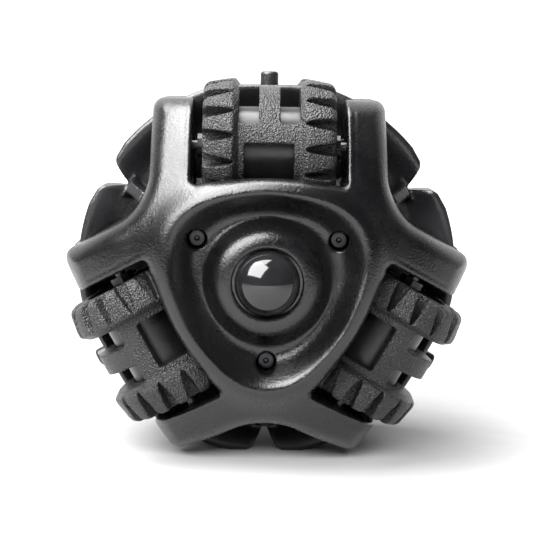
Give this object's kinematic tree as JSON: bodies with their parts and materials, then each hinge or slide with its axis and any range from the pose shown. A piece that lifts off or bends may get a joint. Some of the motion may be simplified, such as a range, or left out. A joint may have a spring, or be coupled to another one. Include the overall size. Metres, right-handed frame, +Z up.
{
  "type": "caged roller ball",
  "caption": "Hand-held caged ball whose treaded rollers and captive pole balls turn freely in a moulded plastic cage.",
  "frame": {"origin": "middle of the object in plan, on the plane of the two flat chords that it stands on", "axes": "+Y runs along the main axis, pole to pole, away from the pictured side; +Z is up; +X is to the right as seen from the pictured side"},
  "size_m": [0.1248, 0.1182, 0.1196],
  "materials": {
    "cap_moulding": "satin black moulding with a fine pebble grain",
    "body_moulding": "dull black moulding",
    "tyre_rubber": "coarse spark-eroded grain, black",
    "core_plastic": "smooth black",
    "ball_gloss": "polished black",
    "slide_plastic": "plain grey sliding plastic",
    "bright_steel": "ground steel",
    "dark_screw": "black oxide"
  },
  "bodies": {
    "cage": {"lobed_body": "body_moulding", "lobe_pin_1": "body_moulding", "lobe_pin_2": "body_moulding", "lobe_pin_3": "body_moulding", "front_cap": "cap_moulding", "front_ball_seat": "slide_plastic", "front_axle_1": "bright_steel", "front_washer_1a": "bright_steel", "front_washer_1b": "bright_steel", "front_cap_screw_1": "dark_screw", "front_axle_2": "bright_steel", "front_washer_2a": "bright_steel", "front_washer_2b": "bright_steel", "front_cap_screw_2": "dark_screw", "front_axle_3": "bright_steel", "front_washer_3a": "bright_steel", "front_washer_3b": "bright_steel", "front_cap_screw_3": "dark_screw", "rear_cap": "cap_moulding", "rear_ball_seat": "slide_plastic", "rear_axle_1": "bright_steel", "rear_washer_1a": "bright_steel", "rear_washer_1b": "bright_steel", "rear_cap_screw_1": "dark_screw", "rear_axle_2": "bright_steel", "rear_washer_2a": "bright_steel", "rear_washer_2b": "bright_steel", "rear_cap_screw_2": "dark_screw", "rear_axle_3": "bright_steel", "rear_washer_3a": "bright_steel", "rear_washer_3b": "bright_steel", "rear_cap_screw_3": "dark_screw"},
    "front_roller_1": {"front_tyre_1": "tyre_rubber", "front_roller_core_1": "core_plastic"},
    "front_roller_2": {"front_tyre_2": "tyre_rubber", "front_roller_core_2": "core_plastic"},
    "front_roller_3": {"front_tyre_3": "tyre_rubber", "front_roller_core_3": "core_plastic"},
    "front_ball": {"front_pole_ball": "ball_gloss"},
    "rear_roller_1": {"rear_tyre_1": "tyre_rubber", "rear_roller_core_1": "core_plastic"},
    "rear_roller_2": {"rear_tyre_2": "tyre_rubber", "rear_roller_core_2": "core_plastic"},
    "rear_roller_3": {"rear_tyre_3": "tyre_rubber", "rear_roller_core_3": "core_plastic"},
    "rear_ball": {"rear_pole_ball": "ball_gloss"}
  },
  "joints": [
    {"name": "front_roller_1_spin", "type": "hinge", "parent": "cage", "child": "front_roller_1", "pos_m": [0, -0.0255, 0.097], "axis": [1, 0, 0], "continuous": true},
    {"name": "front_roller_2_spin", "type": "hinge", "parent": "cage", "child": "front_roller_2", "pos_m": [-0.0336, -0.0255, 0.0388], "axis": [-0.5, 0, 0.866], "continuous": true},
    {"name": "front_roller_3_spin", "type": "hinge", "parent": "cage", "child": "front_roller_3", "pos_m": [0.0336, -0.0255, 0.0388], "axis": [-0.5, 0, -0.866], "continuous": true},
    {"name": "front_ball_roll", "type": "hinge", "parent": "cage", "child": "front_ball", "pos_m": [0, -0.0495, 0.0582], "axis": [1, 0, 0], "continuous": true},
    {"name": "rear_roller_1_spin", "type": "hinge", "parent": "cage", "child": "rear_roller_1", "pos_m": [0, 0.0255, 0.097], "axis": [-1, 0, 0], "continuous": true},
    {"name": "rear_roller_2_spin", "type": "hinge", "parent": "cage", "child": "rear_roller_2", "pos_m": [0.0336, 0.0255, 0.0388], "axis": [0.5, 0, 0.866], "continuous": true},
    {"name": "rear_roller_3_spin", "type": "hinge", "parent": "cage", "child": "rear_roller_3", "pos_m": [-0.0336, 0.0255, 0.0388], "axis": [0.5, 0, -0.866], "continuous": true},
    {"name": "rear_ball_roll", "type": "hinge", "parent": "cage", "child": "rear_ball", "pos_m": [0, 0.0495, 0.0582], "axis": [1, 0, 0], "continuous": true}
  ]
}
